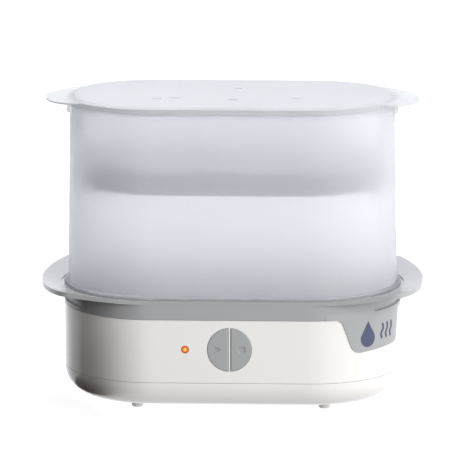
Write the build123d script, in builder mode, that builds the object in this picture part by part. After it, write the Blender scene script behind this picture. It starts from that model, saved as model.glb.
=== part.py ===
from build123d import *
import os
from math import atan, cos, degrees, radians, sin

os.makedirs("parts", exist_ok=True)

# Electric steam steriliser for feeding bottles, in millimetres.
# Z = 0 is the surface that it stands on, the front panel faces -Y, and X is its length.
# Seen from above, every shell is a stadium about the same two end axes at x = +-END_X,
# so one end radius is enough to size each of them.

# --- driving dimensions -------------------------------------------------------------
END_X = 74.0  # half distance between the two end axes
BASE_R = 84.9  # end radius of the base, its outer face
BASE_WALL = 2.4
SHELL_GAP = 0.4  # shadow line between two shells

PAN_Z = 7.0  # underside of the base
PAN_TOP = 32.2
PAN_FILLET = 24.0
TONGUE_TOP = PAN_TOP + 3.6  # the pan's tongue reaches up inside the housing
HOUSING_Z = PAN_TOP + SHELL_GAP
HOUSING_TOP = 92.2
SKIRT_Z = HOUSING_TOP + SHELL_GAP
SKIRT_WALL = 3.2
SKIRT_R = 85.3  # the skirt stands a little proud of the housing
DECK_Z = 107.2  # underside of the deck that carries the chamber
DECK_TOP = 110.6
TONGUE_GAP = 0.2

EAR_TIP_X = 180.0  # half of the overall width
EAR_CENTRE_X = 100.0  # the ear's outline is part of an ellipse about this point
EAR_HALF_Y = 120.0
EAR_EDGE_Y = 85.4  # half of the overall depth
EAR_CORNER_R = 12.0
EAR_SLOPE = 0.23  # the ears rise outwards like a dish
EAR_START_Z = 111.84
EAR_START_R = 88.3
EAR_THICK = 4.4

CHAMBER_R = 81.4  # end radius at the chamber's foot
CHAMBER_TOP = 288.0
CHAMBER_WALL = 2.0
CHAMBER_DRAFT = 1.05  # degrees
BEAD_R = 85.2
BEAD_HEIGHT = 3.8

LID_R = 82.0
LID_Z = CHAMBER_TOP
LID_PLATE = 1.8
LID_SKIRT = 4.4
LID_EAR_X = 125.0
LID_EAR_A = 50.0
LID_EAR_B = 52.5

OPENING_R = 66.0  # the deck's opening, and the inside of the water basin
BASIN_FLOOR = 74.0
BASIN_WALL = 2.0
BASIN_RIM_Z = 103.0
WELL_R = 56.0  # the round hole in the basin's floor, over the heating plate

TRAY_R = 76.0  # lower tray's rim
TRAY_WELL_R = 64.3
TRAY_FLOOR = 96.0
STAND_PITCH_X = 62.0
STAND_Y = 31.0

UPPER_Z = 208.0  # underside of the upper tray
UPPER_END_X = 66.0
UPPER_R = 75.6
UPPER_STEP_Z = 218.0
UPPER_TOP = 230.0

BUTTON_Z = 64.5
BUTTON_R = 20.6
BUTTON_WEB = 2.0
BUTTON_GAP = 0.3
LENS_X = -41.2
LENS_R = 3.6

BOARD_Y = -72.0  # front face of the control board
BOARD_Z = 58.0
BOARD_SIZE = (124.0, 1.6, 28.0)

GLAND_X = 52.0
GLAND_Z = 48.0
GLAND_BORE_R = 3.6
GLAND_TOP = 54.5
GLAND_WIDTH = 12.0

FRONT = Plane.XZ  # its normal points to the front, -Y


# --- shared shapes ------------------------------------------------------------------
def stadium(end_radius, mode=Mode.ADD):
    """The shared outline, on the current sketch."""
    SlotOverall(2 * (END_X + end_radius), 2 * end_radius, mode=mode)


def prism(bottom, top, outer_r, inner_r=None, taper=0.0, mode=Mode.ADD):
    """An upright stadium block, or a ring where an inner radius is given."""
    with BuildSketch(Plane.XY.offset(bottom)) as outline:
        stadium(outer_r)
        if inner_r:
            stadium(inner_r, mode=Mode.SUBTRACT)
    extrude(outline.sketch, amount=top - bottom, taper=taper, mode=mode)


def disc(bottom, top, radius, centres=((0, 0),), mode=Mode.ADD):
    """Upright round posts or holes at the given centres."""
    with BuildSketch(Plane.XY.offset(bottom)) as outline:
        with Locations(*centres):
            Circle(radius)
    extrude(outline.sketch, amount=top - bottom, mode=mode)


def block(centre, size, mode=Mode.ADD):
    """A box by its centre and its size."""
    with Locations(centre):
        Box(*size, mode=mode)


def rod(start_y, end_y, radius, centres, mode=Mode.ADD):
    """Round posts or holes along Y, at the given x and z."""
    with BuildSketch(FRONT.offset(-start_y)) as outline:
        with Locations(*centres):
            Circle(radius)
    extrude(outline.sketch, amount=start_y - end_y, mode=mode)


def half_moon(start_y, end_y, side, grow, mode=Mode.ADD):
    """One half of the round button pair, grown or shrunk all round, along Y."""
    with BuildSketch(FRONT.offset(-start_y)) as outline:
        with Locations((0, BUTTON_Z)):
            Circle(BUTTON_R + grow)
        edge = side * (BUTTON_WEB / 2 - grow)
        with Locations((edge + side * BUTTON_R * 2, BUTTON_Z)):
            Rectangle(BUTTON_R * 4, BUTTON_R * 4, mode=Mode.INTERSECT)
    extrude(outline.sketch, amount=start_y - end_y, mode=mode)


def around_end(angle, radius):
    """A point about the right-hand end axis; 0 degrees is to the front."""
    return END_X + radius * sin(radians(angle)), -radius * cos(radians(angle))


def mirrored(x, y):
    """The same place in all four quarters."""
    return [(x, y), (-x, y), (x, -y), (-x, -y)]


def finish(piece, name):
    """Label the piece and write its file."""
    piece.label = name
    export_step(piece, f"parts/{name}.step")


# --- bottom pan ---------------------------------------------------------------------
PILLAR_ANGLE = 48.0
PILLAR_R = 66.0
PILLAR_TOP = 70.0
PILLARS = mirrored(*around_end(PILLAR_ANGLE, PILLAR_R))  # they join pan and housing
FOOT_PLACES = mirrored(88.0, 45.0)
FOOT_R = 5.4
FOOT_PLUG_R = 3.0
VENT = (3.0, 34.0)

with BuildPart() as pan_hollow:
    prism(PAN_Z + BASE_WALL, PAN_TOP, BASE_R - BASE_WALL)
    fillet(pan_hollow.faces().sort_by(Axis.Z)[0].edges(), PAN_FILLET - BASE_WALL)

with BuildPart() as bottom_pan:
    prism(PAN_Z, PAN_TOP, BASE_R)
    fillet(bottom_pan.faces().sort_by(Axis.Z)[0].edges(), PAN_FILLET)
    add(pan_hollow.part, mode=Mode.SUBTRACT)
    # tongue that locates the housing above
    prism(PAN_TOP - 6, TONGUE_TOP, BASE_R - BASE_WALL - TONGUE_GAP, BASE_R - BASE_WALL - 2)
    disc(10.0, 36.8, 5.0, PILLARS)
    disc(PAN_Z - 1, 40, 1.9, PILLARS, Mode.SUBTRACT)
    disc(PAN_Z - 1, 14, 3.7, PILLARS, Mode.SUBTRACT)
    disc(PAN_Z - 1, 12, FOOT_PLUG_R, FOOT_PLACES, Mode.SUBTRACT)
    with BuildSketch(Plane.XY.offset(PAN_Z)) as vents:
        with GridLocations(11, 60, 6, 1):
            SlotOverall(VENT[1], VENT[0], rotation=90)
    extrude(vents.sketch, amount=BASE_WALL, mode=Mode.SUBTRACT)

finish(bottom_pan.part, "bottom_pan")

FOOT_NAMES = ("foot_rear_right", "foot_rear_left", "foot_front_right", "foot_front_left")
for foot_name, foot_place in zip(FOOT_NAMES, FOOT_PLACES):
    with BuildPart() as foot:
        disc(0, PAN_Z, FOOT_R, [foot_place])
        chamfer(foot.faces().sort_by(Axis.Z)[0].edges(), 0.8)
        disc(PAN_Z, PAN_Z + BASE_WALL + 0.6, FOOT_PLUG_R, [foot_place])
    finish(foot.part, foot_name)

with BuildPart() as pan_screws:
    disc(11.6, 14.0, 3.2, PILLARS)
    disc(14.0, 46.0, 1.5, PILLARS)
finish(pan_screws.part, "pan_screws")

# --- upper housing ------------------------------------------------------------------
CLAMP_POSTS = mirrored(62.0, 74.6)  # where housing, basin and collar are screwed together
LUG_Z = 84.0
LUG_TOP = 88.0
BOARD_POSTS = [(x, BOARD_Z + dz) for x in (57.0, -57.0) for dz in (-10.0, 10.0)]
INNER_Y = BASE_R - BASE_WALL

with BuildPart() as upper_housing:
    prism(HOUSING_Z, HOUSING_TOP, BASE_R, BASE_R - BASE_WALL)
    # tongue inside the collar's skirt, on a shelf
    prism(HOUSING_TOP - 4, HOUSING_TOP - 1.5, BASE_R - 1, BASE_R - SKIRT_WALL - 2)
    prism(HOUSING_TOP - 4, HOUSING_TOP + 5, BASE_R - SKIRT_WALL - TONGUE_GAP, BASE_R - SKIRT_WALL - 2)
    # front panel: two button openings and one for the lens; rear: a slot for the cord gland
    half_moon(-BASE_R - 1, -INNER_Y + 1, 1, BUTTON_GAP, Mode.SUBTRACT)
    half_moon(-BASE_R - 1, -INNER_Y + 1, -1, BUTTON_GAP, Mode.SUBTRACT)
    rod(-BASE_R - 1, -INNER_Y + 1, LENS_R + 0.1, [(LENS_X, BUTTON_Z)], Mode.SUBTRACT)
    gland_slot = (GLAND_WIDTH, 8.0, GLAND_TOP - HOUSING_Z)
    block((GLAND_X, BASE_R, (HOUSING_Z + GLAND_TOP) / 2), gland_slot, Mode.SUBTRACT)

finish(upper_housing.part, "upper_housing")

# Bosses and ribs on the inside of the housing, up against its wall.
with BuildPart() as housing_bosses:
    # pillars, each with a web out to the wall
    disc(37.0, PILLAR_TOP, 4.6, PILLARS)
    for angle in (PILLAR_ANGLE, 180 - PILLAR_ANGLE, 180 + PILLAR_ANGLE, -PILLAR_ANGLE):
        side = 1 if sin(radians(angle)) > 0 else -1
        web_x, web_y = around_end(angle, PILLAR_R + 8.5)
        web_x = web_x if side > 0 else web_x - 2 * END_X
        with BuildSketch(Plane.XY.offset(38.0)) as web:
            with Locations(Location((web_x, web_y, 0), (0, 0, angle - 90))):
                Rectangle(17.0, 2.4)
        extrude(web.sketch, amount=PILLAR_TOP - 38.0)
    disc(36.0, 50.0, 1.5, PILLARS, Mode.SUBTRACT)
    # lugs under the collar's and the basin's posts
    for lug_x, lug_y in CLAMP_POSTS:
        side = 1 if lug_y > 0 else -1
        block((lug_x, side * 76.5, (LUG_Z + LUG_TOP) / 2), (12.0, 13.0, LUG_TOP - LUG_Z))
    disc(LUG_Z - 1, LUG_TOP + 1, 1.9, CLAMP_POSTS, Mode.SUBTRACT)
    # posts for the control board
    rod(-INNER_Y - 0.5, BOARD_Y, 3.2, BOARD_POSTS)
    rod(-INNER_Y + 2.0, BOARD_Y, 1.2, BOARD_POSTS, Mode.SUBTRACT)
    prism(HOUSING_Z, HOUSING_TOP, BASE_R + 10, INNER_Y, mode=Mode.SUBTRACT)
finish(housing_bosses.part, "housing_bosses")

# --- controls -----------------------------------------------------------------------
SYMBOL_DEPTH = 0.9
SYMBOL_TAPER = 35.0  # its sides slope, so that they catch the light
BUTTON_FACE_Y = -BASE_R - 0.3

for button_name, side in (("start_button", -1), ("stop_button", 1)):
    with BuildPart() as button:
        half_moon(BUTTON_FACE_Y, -INNER_Y + 0.3, side, 0)
        straight_edge = button.faces().sort_by(Axis.Y)[0].edges().filter_by(Axis.Z)
        fillet(straight_edge, 1.4)
        round_edge = button.edges().filter_by(GeomType.CIRCLE).sort_by(Axis.Y)[0]
        fillet(round_edge, 0.7)
        half_moon(-INNER_Y + 0.3, -INNER_Y + 1.6, side, 1.0 - BUTTON_GAP)
        rod(-INNER_Y + 1.6, BOARD_Y - 4.0, 2.6, [(side * 9.6, BUTTON_Z)])
        # sunk symbol: a triangle to start, a rounded square to stop
        with BuildSketch(FRONT.offset(-BUTTON_FACE_Y)) as symbol:
            with Locations((side * 11.3, BUTTON_Z)):
                if side < 0:
                    Polygon((-3.6, -3.6), (4.0, 0), (-3.6, 3.6), align=None)
                else:
                    RectangleRounded(7.2, 6.8, 2.2)
        extrude(symbol.sketch, amount=-SYMBOL_DEPTH, taper=SYMBOL_TAPER, mode=Mode.SUBTRACT)
    finish(button.part, button_name)

with BuildPart() as indicator_lens:
    rod(-BASE_R - 0.4, BOARD_Y - 3.2, LENS_R, [(LENS_X, BUTTON_Z)])
    fillet(indicator_lens.faces().sort_by(Axis.Y)[0].edges(), 0.9)
    rod(-INNER_Y + 0.2, -INNER_Y + 1.6, LENS_R + 1.2, [(LENS_X, BUTTON_Z)])
finish(indicator_lens.part, "indicator_lens")

with BuildPart() as control_board:
    block((0, BOARD_Y + BOARD_SIZE[1] / 2, BOARD_Z), BOARD_SIZE)
    rod(BOARD_Y - 1, BOARD_Y + 3, 1.4, BOARD_POSTS, Mode.SUBTRACT)
finish(control_board.part, "control_board")

BOARD_BACK = BOARD_Y + BOARD_SIZE[1]
with BuildPart() as board_screws:
    rod(BOARD_BACK, BOARD_BACK + 2.0, 2.5, BOARD_POSTS)
    rod(BOARD_Y - 7.0, BOARD_BACK, 1.2, BOARD_POSTS)
finish(board_screws.part, "board_screws")

for switch_name, side in (("start_switch", -1), ("stop_switch", 1)):
    with BuildPart() as switch:
        block((side * 9.6, BOARD_Y - 0.9, BUTTON_Z), (6.2, 1.8, 6.2))
        rod(BOARD_Y - 2.2, BOARD_Y - 1.8, 1.7, [(side * 9.6, BUTTON_Z)])
    finish(switch.part, switch_name)

with BuildPart() as indicator_led:
    rod(BOARD_Y - 2.8, BOARD_Y, 1.5, [(LENS_X, BUTTON_Z)])
finish(indicator_led.part, "indicator_led")

LEAD_Z = 50.0
SUPPLY_X = 28.0
for part_name, part_x, part_z, size in (
    ("heater_connector", 0, LEAD_Z, (26.0, 8.0, 9.0)),
    ("supply_connector", SUPPLY_X, LEAD_Z, (14.0, 8.0, 9.0)),
    ("relay", -38.0, 60.0, (15.0, 12.0, 15.0)),
    ("transformer", 45.0, 61.0, (12.0, 13.0, 14.0)),
):
    with BuildPart() as component:
        block((part_x, BOARD_BACK + size[1] / 2, part_z), size)
        fillet(component.edges().filter_by(Axis.Y), 0.8)
    finish(component.part, part_name)

# --- cord inlet and terminals -------------------------------------------------------
GLAND_INNER_Y = 74.0
GLAND_LIP = 2.5  # how far the gland's lips reach past its slot


def gland_pad(start_y, end_y, bottom, top, width):
    """A rounded upright slab of the gland, along Y."""
    with BuildSketch(FRONT.offset(-start_y)) as outline:
        with Locations((GLAND_X, (bottom + top) / 2)):
            RectangleRounded(width, top - bottom, 1.0)
    extrude(outline.sketch, amount=start_y - end_y)


# The gland slides up into the housing's slot, and the pan closes it from below.
with BuildPart() as cord_gland:
    block((GLAND_X, (INNER_Y + BASE_R) / 2, (HOUSING_Z + GLAND_TOP) / 2),
          (GLAND_WIDTH, BASE_WALL, GLAND_TOP - HOUSING_Z))
    gland_pad(BASE_R, EAR_EDGE_Y, HOUSING_Z, GLAND_TOP + GLAND_LIP, GLAND_WIDTH + 2 * GLAND_LIP)
    gland_pad(GLAND_INNER_Y, INNER_Y, TONGUE_TOP + SHELL_GAP, GLAND_TOP + GLAND_LIP,
              GLAND_WIDTH + 2 * GLAND_LIP)
    rod(GLAND_INNER_Y - 1, EAR_EDGE_Y + 1, GLAND_BORE_R, [(GLAND_X, GLAND_Z)], Mode.SUBTRACT)
finish(cord_gland.part, "cord_gland")

PAN_FLOOR = PAN_Z + BASE_WALL
BLOCK_PLACE = (52.0, 38.0)
BLOCK_TOP = PAN_FLOOR + 13.0
with BuildPart() as terminal_block:
    block((BLOCK_PLACE[0], BLOCK_PLACE[1], PAN_FLOOR + 6.5), (34.0, 16.0, 13.0))
    with Locations(*[(BLOCK_PLACE[0] + dx, BLOCK_PLACE[1] + 3, BLOCK_TOP) for dx in (-11, 0, 11)]):
        Hole(2.0, 6.0)
finish(terminal_block.part, "terminal_block")

LEAD_R = 1.4
with BuildPart() as supply_leads:
    for dx in (-3.0, 3.0):
        start = (BLOCK_PLACE[0] + dx, BLOCK_PLACE[1] - 4, BLOCK_TOP)
        lead_x = SUPPLY_X + dx * 0.8
        with BuildLine() as lead_path:
            FilletPolyline(
                start,
                (start[0], start[1], 36.0),
                (start[0], -20.0, 36.0),
                (lead_x, -46.0, LEAD_Z),
                (lead_x, BOARD_BACK + 8.0, LEAD_Z),
                radius=5.0,
            )
        with BuildSketch(Plane(origin=start, z_dir=(0, 0, 1))) as lead_section:
            Circle(LEAD_R)
        sweep(lead_section.sketch, path=lead_path.line)
finish(supply_leads.part, "supply_leads")

# --- heating plate ------------------------------------------------------------------
PLATE_Z = 71.0
PLATE_RIM_R = 64.0
DISH_R = 52.0
DISH_Z = 67.0
RETAINER_R = 70.0
RETAINER_SCREWS = [(67.0 * cos(radians(a)), 67.0 * sin(radians(a))) for a in range(30, 390, 60)]
SPREADER_R = 47.0
RING_R = 38.0
RING_TUBE_R = 3.4
RING_Z = 59.4
SPREADER_Z = RING_Z + RING_TUBE_R

with BuildPart() as plate_seal:
    with BuildSketch(Plane.XY.offset(PLATE_Z + 1.0)) as seal_ring:
        Circle(63.6)
        Circle(WELL_R + 0.6, mode=Mode.SUBTRACT)
    extrude(seal_ring.sketch, amount=BASIN_FLOOR - PLATE_Z - 1.0)
finish(plate_seal.part, "plate_seal")

with BuildPart() as heating_plate:
    with BuildSketch(Plane.XZ) as dish_profile:
        with BuildLine():
            Polyline(
                (0, DISH_Z),
                (DISH_R, DISH_Z),
                (DISH_R + 3, PLATE_Z),
                (PLATE_RIM_R, PLATE_Z),
                (PLATE_RIM_R, PLATE_Z + 1),
                (DISH_R + 2.3, PLATE_Z + 1),
                (DISH_R - 0.7, DISH_Z + 1),
                (0, DISH_Z + 1),
                close=True,
            )
        make_face()
    revolve(dish_profile.sketch, axis=Axis.Z)
finish(heating_plate.part, "heating_plate")

with BuildPart() as plate_retainer:
    with BuildSketch(Plane.XY.offset(PLATE_Z - 1.4)) as retainer_ring:
        Circle(RETAINER_R)
        Circle(57.0, mode=Mode.SUBTRACT)
        with Locations(*RETAINER_SCREWS):
            Circle(1.7, mode=Mode.SUBTRACT)
    extrude(retainer_ring.sketch, amount=1.4)
finish(plate_retainer.part, "plate_retainer")

with BuildPart() as retainer_screws:
    disc(PLATE_Z - 3.6, PLATE_Z - 1.4, 2.7, RETAINER_SCREWS)
    disc(PLATE_Z - 1.4, BASIN_FLOOR + 1.6, 1.3, RETAINER_SCREWS)
finish(retainer_screws.part, "retainer_screws")

with BuildPart() as heat_spreader:
    disc(SPREADER_Z, DISH_Z, SPREADER_R)
    chamfer(heat_spreader.faces().sort_by(Axis.Z)[0].edges(), 1.0)
finish(heat_spreader.part, "heat_spreader")

# A tubular element bent into an open ring; its ends turn down to the leads.
gap_angle = 15.0
ring_end_x = RING_R * sin(radians(gap_angle))
ring_end_y = -RING_R * cos(radians(gap_angle))
with BuildPart() as heater_element:
    with BuildLine() as ring_path:
        CenterArc((0, 0, RING_Z), RING_R, -90 + gap_angle, 360 - 2 * gap_angle)
    ring_start = Plane(origin=ring_path.line @ 0, z_dir=ring_path.line % 0)
    with BuildSketch(ring_start) as ring_section:
        Circle(RING_TUBE_R)
    sweep(ring_section.sketch, path=ring_path.line)
    disc(LEAD_Z - 2, RING_Z, 2.2, [(ring_end_x, ring_end_y), (-ring_end_x, ring_end_y)])
finish(heater_element.part, "heater_element")

with BuildPart() as heater_leads:
    for side in (-1, 1):
        start = (side * ring_end_x, ring_end_y, LEAD_Z - 2)
        with BuildLine() as lead_path:
            FilletPolyline(
                start,
                (start[0], start[1], 38.0),
                (start[0], -52.0, LEAD_Z),
                (start[0], BOARD_BACK + 8.0, LEAD_Z),
                radius=4.0,
            )
        with BuildSketch(Plane(origin=start, z_dir=(0, 0, -1))) as lead_section:
            Circle(LEAD_R)
        sweep(lead_section.sketch, path=lead_path.line)
finish(heater_leads.part, "heater_leads")

with BuildPart() as thermostat:
    disc(56.0, SPREADER_Z, 9.0, [(0, 8)])
    disc(51.0, 56.0, 6.0, [(0, 8)])
    block((-5.0, 8, 49.0), (1.0, 5.0, 4.0))
    block((5.0, 8, 49.0), (1.0, 5.0, 4.0))
    fillet(thermostat.faces().filter_by(Axis.Z).sort_by(Axis.Z)[0].edges(), 0.2)
finish(thermostat.part, "thermostat")

with BuildPart() as thermal_fuse:
    with BuildSketch(Plane.YZ.offset(-7.0)) as fuse_section:
        with Locations((-16.0, SPREADER_Z - 2.2)):
            Circle(2.2)
    extrude(fuse_section.sketch, amount=14.0)
finish(thermal_fuse.part, "thermal_fuse")

# --- water basin --------------------------------------------------------------------
BASIN_R = OPENING_R + BASIN_WALL
BASIN_TOP = BASIN_RIM_Z + 2.0
POST_R = 4.4

with BuildPart() as basin:
    prism(BASIN_FLOOR, BASIN_TOP, BASIN_R)
    prism(BASIN_FLOOR + 2.4, BASIN_TOP, OPENING_R, mode=Mode.SUBTRACT)
    fillet(basin.faces().filter_by(Axis.Z).group_by(Axis.Z)[1].edges(), 6.0)
    prism(BASIN_RIM_Z, BASIN_TOP, BASIN_R + 4.4, BASIN_R - 1)
    disc(BASIN_FLOOR - 1, BASIN_FLOOR + 3, WELL_R, mode=Mode.SUBTRACT)
    disc(BASIN_FLOOR - 3, BASIN_FLOOR, 2.5, RETAINER_SCREWS)
    disc(BASIN_FLOOR - 4, BASIN_FLOOR + 1.7, 1.4, RETAINER_SCREWS, Mode.SUBTRACT)
    disc(LUG_TOP, BASIN_TOP, POST_R, CLAMP_POSTS)
    for post_x, post_y in CLAMP_POSTS:
        side = 1 if post_y > 0 else -1
        block((post_x, side * 69.5, (LUG_TOP + BASIN_TOP) / 2), (3.0, 5.0, BASIN_TOP - LUG_TOP))
    disc(LUG_TOP - 1, BASIN_TOP + 1, 1.9, CLAMP_POSTS, Mode.SUBTRACT)
finish(basin.part, "basin")

with BuildPart() as basin_seal:
    prism(BASIN_TOP, DECK_Z, BASIN_R + 1.6, OPENING_R + 0.6)
finish(basin_seal.part, "basin_seal")

# --- collar with its two ear handles ------------------------------------------------
SLOT_Z = 98.7
SLOT_HEIGHT = 4.6
SLOT_HALF_Y = 61.0
SLOT_DEPTH = 2.0
TAB_PROUD = 1.0
TAB_BLEND = 5.0  # height over which the tab runs back into the skirt
TAB_ANGLE = 46.0
TAB_BOTTOM = 59.3


def rise(radius):
    """Height of an ear's top at a distance from its end axis."""
    return EAR_START_Z + EAR_SLOPE * (radius - EAR_START_R)


with BuildPart() as ear_outline:
    with BuildSketch(Plane.XY.offset(DECK_Z - 6)) as outline:
        with Locations((EAR_CENTRE_X, 0), (-EAR_CENTRE_X, 0)):
            Ellipse(EAR_TIP_X - EAR_CENTRE_X, EAR_HALF_Y)
        Rectangle(2 * EAR_TIP_X, 2 * EAR_EDGE_Y, mode=Mode.INTERSECT)
        Rectangle(2 * EAR_CENTRE_X, 2 * EAR_EDGE_Y)
        corners = outline.vertices().filter_by(lambda v: abs(v.X) > EAR_CENTRE_X + 1)
        fillet(corners, EAR_CORNER_R)
    extrude(outline.sketch, amount=30)

# Deck and ears share one section, run along the straight sides and round both ends.
with BuildPart() as dish:
    with BuildSketch(Plane.YZ.offset(-END_X)) as dish_section:
        with BuildLine():
            Polyline(
                (OPENING_R, DECK_Z),
                (OPENING_R, DECK_TOP),
                (EAR_START_R, DECK_TOP),
                (EAR_START_R, EAR_START_Z),
                (130.0, rise(130.0)),
                (130.0, rise(130.0) - EAR_THICK),
                (BASE_R + 1.5, DECK_Z - 0.4),
                (BASE_R - SKIRT_WALL, DECK_Z - 0.4),
                (BASE_R - SKIRT_WALL, DECK_Z),
                close=True,
            )
        make_face()
    extrude(dish_section.sketch, amount=2 * END_X)
    revolve(dish_section.sketch, axis=Axis((-END_X, 0, 0), (0, 0, 1)), revolution_arc=180)
    mirror(about=Plane.XZ)
    mirror(about=Plane.YZ)

with BuildPart() as badge_outline:
    tab_normal = (sin(radians(TAB_ANGLE)), -cos(radians(TAB_ANGLE)), 0)
    tab_plane = Plane(origin=(END_X, 0, 0), x_dir=(-tab_normal[1], tab_normal[0], 0), z_dir=tab_normal)
    with BuildSketch(tab_plane.offset(50.0)) as tab_shape:
        with BuildLine():
            FilletPolyline(
                (-50.0, DECK_Z - 1),
                (-50.0, SKIRT_Z),
                (-37.5, SKIRT_Z),
                (-25.5, TAB_BOTTOM),
                (34.4, TAB_BOTTOM + 2.4),
                (40.6, SKIRT_Z + 6.0),
                (40.6, DECK_Z - 1),
                radius=[0.4, 8.0, 11.0, 7.0, 2.0],
            )
            Line((40.6, DECK_Z - 1), (-50.0, DECK_Z - 1))
        make_face()
    extrude(tab_shape.sketch, amount=60.0)

with BuildPart() as badge_tab:
    blend_angle = degrees(atan((BASE_R + TAB_PROUD - SKIRT_R) / TAB_BLEND))
    prism(SKIRT_Z, SKIRT_Z + TAB_BLEND, BASE_R + TAB_PROUD, taper=blend_angle)
    prism(SKIRT_Z, SKIRT_Z + TAB_BLEND, BASE_R - 1.0, mode=Mode.SUBTRACT)
    prism(TAB_BOTTOM - 2, SKIRT_Z, BASE_R + TAB_PROUD, BASE_R + 0.1)
    add(badge_outline.part, mode=Mode.INTERSECT)

with BuildPart() as slot_cutter:
    with BuildSketch(Plane.YZ.offset(-200)) as slot_face:
        with Locations((0, SLOT_Z)):
            SlotOverall(2 * SLOT_HALF_Y, SLOT_HEIGHT)
    extrude(slot_face.sketch, amount=400)
    prism(SLOT_Z - 10, SLOT_Z + 10, BASE_R + 5, BASE_R - SLOT_DEPTH, mode=Mode.INTERSECT)

with BuildPart() as collar:
    add(dish.part)
    add(ear_outline.part, mode=Mode.INTERSECT)
    prism(SKIRT_Z, DECK_Z + 0.2, SKIRT_R, BASE_R - SKIRT_WALL)
    add(badge_tab.part)
    add(slot_cutter.part, mode=Mode.SUBTRACT)
    disc(BASIN_TOP, DECK_TOP - 1.0, POST_R, CLAMP_POSTS)
    disc(BASIN_TOP - 1, DECK_TOP - 1.4, 1.5, CLAMP_POSTS, Mode.SUBTRACT)
finish(collar.part, "collar")

with BuildPart() as collar_screws:
    disc(LUG_Z - 2.4, LUG_Z, 3.0, CLAMP_POSTS)
    disc(LUG_Z, DECK_TOP - 2.0, 1.4, CLAMP_POSTS)
finish(collar_screws.part, "collar_screws")

# A plain water drop and three waves of steam, printed on the tab.
MARK_Z = 75.5
with BuildPart() as mark_outline:
    with BuildSketch(tab_plane.offset(50.0)) as mark_shape:
        with BuildLine():
            drop = ThreePointArc((-17.8, MARK_Z - 1.0), (-9.8, MARK_Z - 11.5), (-1.8, MARK_Z - 1.0))
            Line(drop @ 1, (-9.8, MARK_Z + 13.0))
            Line((-9.8, MARK_Z + 13.0), drop @ 0)
        make_face()
    extrude(mark_shape.sketch, amount=60.0)
    with BuildSketch(tab_plane.offset(50.0)) as steam_shape:
        for wave_x in (9.0, 16.0, 23.0):
            with BuildLine() as wave:
                SagittaArc((wave_x, MARK_Z - 6.0), (wave_x, MARK_Z + 1.0), 1.5)
                SagittaArc((wave_x, MARK_Z + 1.0), (wave_x, MARK_Z + 8.0), -1.5)
            trace(wave.line, line_width=2.2)
    extrude(steam_shape.sketch, amount=60.0)

with BuildPart() as badge_mark:
    prism(MARK_Z - 20, MARK_Z + 20, BASE_R + TAB_PROUD + 0.25, BASE_R + TAB_PROUD)
    add(mark_outline.part, mode=Mode.INTERSECT)
finish(badge_mark.part, "badge_mark")

# --- chamber ------------------------------------------------------------------------
LEDGE_TOP = UPPER_Z
LEDGE_DEPTH = 3.0
LEDGE_ANGLE = 38.0
LEDGE_R = 72.4
KNUCKLE_R = 2.7
KNUCKLE_HEIGHTS = (277.0, 282.2)
RIM_RINGS = (279.4, 283.2)


def chamber_r(height):
    """Outer end radius of the drafted wall at a height."""
    return CHAMBER_R - (height - DECK_TOP) * sin(radians(CHAMBER_DRAFT))


with BuildPart() as chamber_hollow:
    prism(DECK_TOP, CHAMBER_TOP, CHAMBER_R - CHAMBER_WALL, taper=CHAMBER_DRAFT)

with BuildPart() as chamber:
    prism(DECK_TOP, CHAMBER_TOP, CHAMBER_R, taper=CHAMBER_DRAFT)
    # rounded foot bead, a fine line above it, and two fine rings below the rim
    prism(DECK_TOP, DECK_TOP + BEAD_HEIGHT, BEAD_R, CHAMBER_R - 1)
    fillet(chamber.edges().filter_by(lambda e: abs(e.center().Z - DECK_TOP - BEAD_HEIGHT) < 0.01)
           .group_by(SortBy.LENGTH)[-1], 1.5)
    for ring_z in RIM_RINGS:
        prism(ring_z, ring_z + 1.2, chamber_r(ring_z) + 0.5, chamber_r(ring_z) - 1)
    # two stacked grip knuckles on each end
    with BuildSketch(Plane.XZ.offset(-11)) as knuckles:
        knuckle_x = END_X + chamber_r(280) + 0.3
        for knuckle_z in KNUCKLE_HEIGHTS:
            with Locations((knuckle_x, knuckle_z), (-knuckle_x, knuckle_z)):
                Circle(KNUCKLE_R)
    extrude(knuckles.sketch, amount=22)
    # ledges that carry the upper tray
    with BuildSketch(Plane.XY.offset(LEDGE_TOP - LEDGE_DEPTH)) as ledges:
        for side in (-1, 1):
            for angle in (LEDGE_ANGLE, -LEDGE_ANGLE):
                with Locations(Location((side * END_X, 0, 0), (0, 0, 90 * (1 - side) + angle))):
                    with Locations((LEDGE_R, 0)):
                        Rectangle(13.0, 12.0)
    ledge_block = extrude(ledges.sketch, amount=LEDGE_DEPTH, mode=Mode.PRIVATE)
    add(chamber_hollow.part, mode=Mode.SUBTRACT)
    add(ledge_block)
finish(chamber.part, "chamber")

# --- lid ----------------------------------------------------------------------------
LOCATOR_R = chamber_r(CHAMBER_TOP) - CHAMBER_WALL - 0.6
PANEL_R = 75.5
LID_TOP = LID_Z + LID_PLATE
EAR_DROOP_R = 80.0  # the lid's ears start to droop here, measured from the end axis
EAR_TIP_DROOP = 2.4
VENTS = ((-70.0, -26.0), (-52.0, -22.0), (1.5, -30.0), (60.0, -20.0), (4.0, 32.0))

with BuildPart() as lid_ear_outline:
    with BuildSketch(Plane.XY.offset(LID_Z - 10)) as ears:
        with Locations((LID_EAR_X, 0), (-LID_EAR_X, 0)):
            Ellipse(LID_EAR_A, LID_EAR_B)
    extrude(ears.sketch, amount=20)

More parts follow.
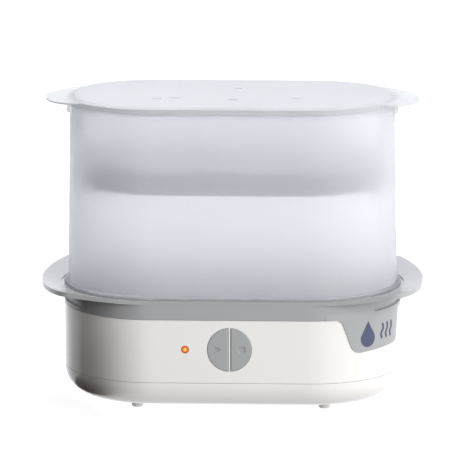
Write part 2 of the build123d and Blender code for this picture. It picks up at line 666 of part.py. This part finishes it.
with BuildPart() as lid_ears:
    with BuildSketch(Plane.YZ.offset(END_X)) as ear_section:
        with BuildLine():
            Polyline(
                (EAR_DROOP_R - 6, LID_TOP),
                (EAR_DROOP_R, LID_TOP),
                (EAR_DROOP_R + 24, LID_TOP - EAR_TIP_DROOP),
                (EAR_DROOP_R + 24, LID_TOP - EAR_TIP_DROOP - 1.5),
                (EAR_DROOP_R, LID_TOP - LID_PLATE),
                (EAR_DROOP_R - 6, LID_TOP - LID_PLATE),
                close=True,
            )
        make_face()
    revolve(ear_section.sketch, axis=Axis((END_X, 0, 0), (0, 0, 1)), revolution_arc=-180)
    mirror(about=Plane.YZ)
    add(lid_ear_outline.part, mode=Mode.INTERSECT)

with BuildPart() as lid:
    prism(LID_Z, LID_TOP, LID_R)
    prism(LID_TOP - LID_SKIRT, LID_Z + 0.5, LID_R, LID_R - 1.6)
    add(lid_ears.part)
    prism(LID_TOP, LID_TOP + 0.7, PANEL_R, taper=45)
    prism(LID_Z - 5.0, LID_Z + 0.5, LOCATOR_R, LOCATOR_R - 1.5)
    with BuildSketch(Plane.XY.offset(LID_Z - 1)) as vent_slots:
        with Locations(*VENTS):
            SlotOverall(9.0, 2.4)
    extrude(vent_slots.sketch, amount=LID_PLATE + 3, mode=Mode.SUBTRACT)
finish(lid.part, "lid")

# --- lower tray: the bottle rack ----------------------------------------------------
with BuildPart() as lower_tray:
    prism(DECK_TOP, DECK_TOP + 2.0, TRAY_R, TRAY_WELL_R - 2)
    prism(TRAY_FLOOR, DECK_TOP + 2.0, TRAY_WELL_R, TRAY_WELL_R - 1.8)
    prism(TRAY_FLOOR, TRAY_FLOOR + 2.0, TRAY_WELL_R)
    with BuildSketch(Plane.XY.offset(TRAY_FLOOR - 1)) as drains:
        with GridLocations(STAND_PITCH_X, 2 * STAND_Y, 4, 2):
            with PolarLocations(23.0, 8, 22.5):
                SlotOverall(13.0, 4.0, rotation=90)
        with GridLocations(31.0, 1, 8, 1):
            Circle(3.0)
    extrude(drains.sketch, amount=4, mode=Mode.SUBTRACT)
    # each stand is four upright fins round a drain hole
    with BuildSketch(Plane.XY.offset(TRAY_FLOOR + 1.0)) as fins:
        with GridLocations(STAND_PITCH_X, 2 * STAND_Y, 4, 2):
            with PolarLocations(10.0, 4, 45):
                Rectangle(9.0, 1.8)
    extrude(fins.sketch, amount=20.0)
finish(lower_tray.part, "lower_tray")

# --- upper tray ---------------------------------------------------------------------
def upper_outline(end_radius, mode=Mode.ADD):
    """The upper tray is a little shorter than the chamber."""
    SlotOverall(2 * (UPPER_END_X + end_radius), 2 * end_radius, mode=mode)


def upper_ring(bottom, top, outer_r, inner_r=None, mode=Mode.ADD):
    """A block or ring in the upper tray's outline."""
    with BuildSketch(Plane.XY.offset(bottom)) as outline:
        upper_outline(outer_r)
        if inner_r:
            upper_outline(inner_r, mode=Mode.SUBTRACT)
    extrude(outline.sketch, amount=top - bottom, mode=mode)


with BuildPart() as upper_tray:
    upper_ring(UPPER_Z, UPPER_STEP_Z, UPPER_R, UPPER_R - 2.0)
    upper_ring(UPPER_STEP_Z - 2.0, UPPER_TOP, UPPER_R - 1.5, UPPER_R - 3.5)
    upper_ring(UPPER_Z, UPPER_Z + 2.4, UPPER_R - 1)
    with BuildSketch(Plane.XY.offset(UPPER_Z - 1)) as grid:
        with GridLocations(10.0, 44.0, 21, 3):
            SlotOverall(36.0, 5.0, rotation=90)
    extrude(grid.sketch, amount=5, mode=Mode.SUBTRACT)
    for divider_x in (-45.0, 45.0):
        block((divider_x, 0, UPPER_Z + 8.0), (1.8, 2 * UPPER_R - 4.0, 14.0))
finish(upper_tray.part, "upper_tray")
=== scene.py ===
from math import cos, pi, radians, sin

import bpy
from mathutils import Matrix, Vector

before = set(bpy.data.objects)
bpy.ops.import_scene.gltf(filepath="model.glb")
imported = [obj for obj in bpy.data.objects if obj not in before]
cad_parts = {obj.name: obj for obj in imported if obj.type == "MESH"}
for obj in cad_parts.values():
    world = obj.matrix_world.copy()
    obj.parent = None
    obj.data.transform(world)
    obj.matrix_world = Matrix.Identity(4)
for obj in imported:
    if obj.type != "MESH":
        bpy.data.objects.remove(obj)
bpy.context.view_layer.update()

WHITE = (1.0, 1.0, 1.0)

# The surroundings as light and reflections see them: an even wall, with each region laid over the
# ones before it. A region has the direction it lies in, its colour, the two cosines between which
# it fades (full, gone), and how much its height counts against its heading.
WALL_LEVEL = (0.80, 0.815, 0.845)
REGIONS = (
    ((0.15, 1.0, 0.3), (1.27, 1.29, 1.35), (0.8, 0.1), 1.0),  # bright, behind
    ((1.0, -0.45, 0.1), (1.12, 1.12, 1.11), (0.9, 0.1), 1.0),  # bright, right
    ((0.55, -0.55, -0.75), (0.76, 0.75, 0.745), (0.9, 0.6), 1.0),  # a little dim, low right
    ((-0.85, -0.5, -0.12), (0.70, 0.69, 0.69), (0.8, 0.15), 1.7),  # dim, left
    ((-0.85, -0.5, -0.33), (0.04, 0.025, 0.02), (0.90, 0.58), 1.0),  # dark and warm, low left
)

# Soft boxes: name, place, size, power. All aim at the middle of the object.
SOFT_BOXES = (
    ("key", (0.75, -0.7, 0.5), (0.5, 0.5), 3.7),
    ("top", (-0.45, 0.25, 1.5), (1.4, 1.2), 8.5),
    ("front", (0.9, -1.6, 0.6), (1.4, 0.8), 1.1),
)
MIDDLE = (0.0, 0.0, 0.15)

FLOOR_REACH = 6.0
FLAG_NEAR, FLAG_FAR = (-0.112, -0.152), (-0.235, -0.02)  # the flag's two ends in plan
FLAG_BOTTOM, FLAG_TOP = 0.003, 0.105
FLAG_FOOT = ((-0.156, -0.005), (-0.108, -0.085))  # the foot's inner edge in plan

LENS_CENTRE, LENS_RADIUS = (-0.0412, -0.0853, 0.0645), 0.0036


# --- camera, lights and floor -------------------------------------------------------
def make_camera():
    """A long lens a little to the right of the front, looking 12 degrees down."""
    azimuth, pitch = radians(1.95), radians(12.03)
    distance, height, lens = 3.524, 0.9088, 295.3
    data = bpy.data.cameras.new("camera")
    data.sensor_width = 36.0
    data.lens = lens
    data.clip_start, data.clip_end = 0.1, 50.0
    camera = bpy.data.objects.new("camera", data)
    camera.location = (distance * sin(azimuth), -distance * cos(azimuth), height)
    camera.rotation_euler = (pi / 2 - pitch, 0.0, azimuth)
    bpy.context.scene.collection.objects.link(camera)
    bpy.context.scene.camera = camera


def soft_box(name, place, size, power):
    """A rectangular light that the camera doesn't see."""
    data = bpy.data.lights.new(name, "AREA")
    data.shape = "RECTANGLE"
    data.size, data.size_y = size
    data.energy = power
    light = bpy.data.objects.new(name, data)
    light.location = place
    light.visible_camera = False
    light.rotation_euler = (Vector(MIDDLE) - Vector(place)).to_track_quat("-Z", "Y").to_euler()
    bpy.context.scene.collection.objects.link(light)


def make_surroundings():
    """White to the camera; brighter at the right and dim at the left for everything else."""
    world = bpy.data.worlds.new("studio")
    bpy.context.scene.world = world
    world.use_nodes = True
    tree = world.node_tree
    background = tree.nodes["Background"]
    direction = tree.nodes.new("ShaderNodeTexCoord").outputs["Generated"]

    def lobe(aim, full, gone, height):
        """1 towards the aim, fading to 0 between two cosines."""
        squash = tree.nodes.new("ShaderNodeVectorMath")
        squash.operation = "MULTIPLY"
        tree.links.new(direction, squash.inputs[0])
        squash.inputs[1].default_value = (1.0, 1.0, height)
        unit = tree.nodes.new("ShaderNodeVectorMath")
        unit.operation = "NORMALIZE"
        tree.links.new(squash.outputs["Vector"], unit.inputs[0])
        dot = tree.nodes.new("ShaderNodeVectorMath")
        dot.operation = "DOT_PRODUCT"
        tree.links.new(unit.outputs["Vector"], dot.inputs[0])
        dot.inputs[1].default_value = Vector(aim).normalized()
        fade = tree.nodes.new("ShaderNodeMapRange")
        fade.interpolation_type = "SMOOTHSTEP"
        tree.links.new(dot.outputs["Value"], fade.inputs["Value"])
        fade.inputs["From Min"].default_value = gone
        fade.inputs["From Max"].default_value = full
        return fade.outputs["Result"]

    def mix(factor, first, second):
        made = tree.nodes.new("ShaderNodeMix")
        made.data_type = "RGBA"
        tree.links.new(factor, made.inputs["Factor"])
        for socket, value in ((made.inputs["A"], first), (made.inputs["B"], second)):
            if isinstance(value, tuple):
                socket.default_value = (*value, 1.0)
            else:
                tree.links.new(value, socket)
        return made.outputs["Result"]

    walls = WALL_LEVEL
    for aim, level, (full, gone), height in REGIONS:
        walls = mix(lobe(aim, full, gone, height), walls, level)
    seen = tree.nodes.new("ShaderNodeLightPath").outputs["Is Camera Ray"]
    tree.links.new(mix(seen, walls, WHITE), background.inputs["Color"])


def make_sheet(name, corners, faces, material):
    """A flat sheet for the set, in one material."""
    mesh = bpy.data.meshes.new(name)
    mesh.from_pydata(corners, [], faces)
    mesh.materials.append(material)
    sheet = bpy.data.objects.new(name, mesh)
    bpy.context.scene.collection.objects.link(sheet)
    return sheet


def make_stage():
    """A white sheet to stand on, three soft boxes and a dark flag."""
    bpy.context.scene.view_settings.view_transform = "Standard"

    # The paper glows a little, so that it stays white; it lights and mirrors in nothing.
    paper = Shader("floor_paper")
    paper.tint(paper.noise(3.0), (0.17, 0.17, 0.17), (0.18, 0.18, 0.18))
    paper.plain(Roughness=0.95, Specular_IOR_Level=0.1, Emission_Strength=0.94)
    paper.bsdf.inputs["Emission Color"].default_value = (*WHITE, 1.0)
    corners = [(x * FLOOR_REACH, y * FLOOR_REACH, 0) for x, y in ((-1, -1), (1, -1), (1, 1), (-1, 1))]
    floor = make_sheet("floor", corners, [(0, 1, 2, 3)], paper.material)
    floor.visible_diffuse = False
    floor.visible_glossy = False

    # A low upright flag with a foot, which shades the left end of the base.
    cloth = Shader("flag_cloth")
    cloth.tint(cloth.noise(200.0), (0.03, 0.018, 0.012), (0.04, 0.025, 0.018))
    cloth.plain(Roughness=0.9, Specular_IOR_Level=0.1)
    corners = [(*FLAG_NEAR, FLAG_BOTTOM), (*FLAG_FAR, FLAG_BOTTOM),
               (*FLAG_FAR, FLAG_TOP), (*FLAG_NEAR, FLAG_TOP),
               *((*place, FLAG_BOTTOM) for place in FLAG_FOOT)]
    flag = make_sheet("flag", corners, [(0, 1, 2, 3), (0, 1, 4, 5)], cloth.material)
    flag.visible_camera = False
    flag.visible_shadow = False

    for box in SOFT_BOXES:
        soft_box(*box)


# --- materials ----------------------------------------------------------------------
class Shader:
    """A Principled material with small helpers for its procedural detail."""

    def __init__(self, name):
        self.material = bpy.data.materials.new(name)
        self.material.use_nodes = True
        self.tree = self.material.node_tree
        self.bsdf = self.tree.nodes["Principled BSDF"]
        self.coords = self.tree.nodes.new("ShaderNodeTexCoord").outputs["Object"]

    def plain(self, **values):
        """Plain values on the shader's own sockets."""
        for name, value in values.items():
            self.bsdf.inputs[name.replace("_", " ")].default_value = value
        return self

    def node(self, kind, **inputs):
        made = self.tree.nodes.new(kind)
        for name, value in inputs.items():
            socket = made.inputs[name]
            if hasattr(value, "is_output"):
                self.tree.links.new(value, socket)
            else:
                socket.default_value = value
        return made

    def noise(self, scale, detail=3.0, roughness=0.5, stretch=None):
        where = self.coords
        if stretch:
            mapping = self.node("ShaderNodeMapping", Vector=where)
            mapping.inputs["Scale"].default_value = stretch
            where = mapping.outputs["Vector"]
        made = self.node("ShaderNodeTexNoise", Vector=where, Scale=scale, Detail=detail)
        made.inputs["Roughness"].default_value = roughness
        return made.outputs["Fac"]

    def between(self, factor, low, high):
        """Maps a 0 to 1 value to a range."""
        made = self.node("ShaderNodeMapRange", Value=factor)
        made.inputs["From Min"].default_value = 0.3
        made.inputs["From Max"].default_value = 0.7
        made.inputs["To Min"].default_value = low
        made.inputs["To Max"].default_value = high
        return made.outputs["Result"]

    def tint(self, factor, first, second):
        made = self.tree.nodes.new("ShaderNodeMix")
        made.data_type = "RGBA"
        self.tree.links.new(factor, made.inputs["Factor"])
        made.inputs["A"].default_value = (*first, 1.0)
        made.inputs["B"].default_value = (*second, 1.0)
        self.tree.links.new(made.outputs["Result"], self.bsdf.inputs["Base Color"])
        return self

    def rough(self, factor, low, high):
        self.tree.links.new(self.between(factor, low, high), self.bsdf.inputs["Roughness"])
        return self

    def bump(self, height, strength, distance):
        made = self.node("ShaderNodeBump", Height=height)
        made.inputs["Strength"].default_value = strength
        made.inputs["Distance"].default_value = distance
        self.tree.links.new(made.outputs["Normal"], self.bsdf.inputs["Normal"])
        return self


def plastic(name, colour, roughness, grain=0.0006, relief=0.15, spread=0.03, shine=0.5):
    """Moulded plastic: slight colour drift, uneven gloss and a fine spark-eroded grain."""
    shader = Shader(name)
    drift = shader.noise(9.0, 2.0)
    darker = tuple(c * (1 - spread) for c in colour)
    lighter = tuple(min(1.0, c * (1 + spread)) for c in colour)
    shader.tint(drift, darker, lighter)
    shader.rough(shader.noise(60.0, 4.0), roughness * 0.88, min(1.0, roughness * 1.12))
    shader.bump(shader.noise(1 / grain, 2.0), relief, 0.00006)
    shader.plain(Specular_IOR_Level=shine)
    return shader.material


def frosted(name, colour, roughness, transmission, grain=0.0009):
    """Frosted polypropylene: milky, blurring whatever stands behind it."""
    shader = Shader(name)
    shader.tint(shader.noise(14.0, 3.0), tuple(c * 0.985 for c in colour), colour)
    shader.rough(shader.noise(45.0, 4.0), roughness - 0.03, roughness + 0.03)
    shader.bump(shader.noise(1 / grain, 2.0), 0.1, 0.00005)
    shader.plain(Transmission_Weight=transmission, IOR=1.25, Specular_IOR_Level=0.4)
    return shader.material


def glowing(name, centre, radius):
    """A lit lens: near yellow in the middle, orange outside it, dark at the rim."""
    shader = Shader(name)
    away = shader.node("ShaderNodeVectorMath")
    away.operation = "DISTANCE"
    shader.tree.links.new(shader.coords, away.inputs[0])
    away.inputs[1].default_value = centre
    reach = shader.node("ShaderNodeMapRange", Value=away.outputs["Value"])
    reach.inputs["From Max"].default_value = radius * 1.05
    ramp = shader.node("ShaderNodeValToRGB", Fac=reach.outputs["Result"])
    stops = ramp.color_ramp.elements
    stops[0].position, stops[0].color = 0.12, (1.0, 0.62, 0.10, 1.0)
    stops[1].position, stops[1].color = 1.0, (0.10, 0.012, 0.002, 1.0)
    middle = stops.new(0.42)
    middle.color = (0.85, 0.17, 0.01, 1.0)
    edge = stops.new(0.78)
    edge.color = (0.48, 0.06, 0.005, 1.0)
    shader.tree.links.new(ramp.outputs["Color"], shader.bsdf.inputs["Base Color"])
    shader.tree.links.new(ramp.outputs["Color"], shader.bsdf.inputs["Emission Color"])
    shader.rough(shader.noise(400.0, 2.0), 0.08, 0.16)
    shader.plain(Emission_Strength=0.55, Specular_IOR_Level=0.6)
    return shader.material


def metal(name, colour, roughness, stretch=None):
    """Bare metal with a drawn or cast surface."""
    shader = Shader(name)
    grain = shader.noise(900.0 if stretch else 320.0, 3.0, stretch=stretch)
    shader.tint(grain, tuple(c * 0.9 for c in colour), colour)
    shader.rough(grain, roughness * 0.8, roughness * 1.25)
    shader.bump(grain, 0.12, 0.00008)
    shader.plain(Metallic=1.0)
    return shader.material


def dress(names, material):
    """Puts one material on every slot of the named CAD nodes."""
    for name in names:
        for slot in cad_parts[name].material_slots:
            slot.material = material


def dress_all():
    dress(["chamber"], frosted("frosted_wall", (0.965, 0.973, 1.0), 0.74, 0.72))
    dress(["lid"], frosted("frosted_lid", (0.77, 0.78, 0.80), 0.75, 0.46))
    dress(["collar"], plastic("collar_grey", (0.395, 0.403, 0.413), 0.2, relief=0.02, shine=0.65))
    dress(["upper_tray", "lower_tray"], plastic("tray_grey", (0.088, 0.102, 0.13), 0.5))
    dress(["upper_housing", "housing_bosses", "bottom_pan"],
          plastic("housing_white", (0.90, 0.885, 0.86), 0.16, relief=0.04))
    dress(["start_button", "stop_button"], plastic("button_grey", (0.40, 0.415, 0.425), 0.35))
    dress(["indicator_lens"], glowing("lens_orange", LENS_CENTRE, LENS_RADIUS))
    dress(["badge_mark"], plastic("mark_blue", (0.075, 0.09, 0.165), 0.5))
    dress([f"foot_{end}_{side}" for end in ("front", "rear") for side in ("left", "right")],
          plastic("foot_rubber", (0.82, 0.81, 0.79), 0.6))
    dress(["basin"], plastic("basin_white", (0.86, 0.86, 0.86), 0.35))
    dress(["basin_seal", "plate_seal"], plastic("silicone", (0.72, 0.71, 0.68), 0.6, relief=0.05))
    dress(["heating_plate", "plate_retainer"], metal("steel", (0.62, 0.62, 0.62), 0.3, (1, 1, 60)))
    dress(["heat_spreader"], metal("cast_aluminium", (0.7, 0.7, 0.71), 0.5))
    dress(["heater_element"], metal("element_steel", (0.42, 0.38, 0.33), 0.45))
    dress(["retainer_screws", "pan_screws", "board_screws", "collar_screws"],
          metal("screw_steel", (0.55, 0.55, 0.57), 0.35))
    dress(["thermostat", "transformer", "start_switch", "stop_switch"],
          plastic("component_black", (0.03, 0.03, 0.033), 0.5))
    dress(["thermal_fuse"], plastic("fuse_white", (0.78, 0.77, 0.72), 0.7))
    dress(["relay"], plastic("component_blue", (0.04, 0.12, 0.4), 0.4))
    dress(["control_board"], plastic("board_green", (0.02, 0.17, 0.08), 0.35, grain=0.004, spread=0.2))
    dress(["heater_connector", "supply_connector", "terminal_block"],
          plastic("connector_white", (0.82, 0.81, 0.76), 0.45))
    dress(["supply_leads"], plastic("lead_insulation", (0.25, 0.13, 0.07), 0.45))
    dress(["heater_leads"], plastic("lead_silicone", (0.5, 0.07, 0.05), 0.6))
    dress(["indicator_led"], plastic("led_clear", (0.95, 0.5, 0.2), 0.1))
    dress(["cord_gland"], plastic("gland_grey", (0.33, 0.34, 0.35), 0.55, relief=0.3))


make_surroundings()
make_camera()
make_stage()
dress_all()
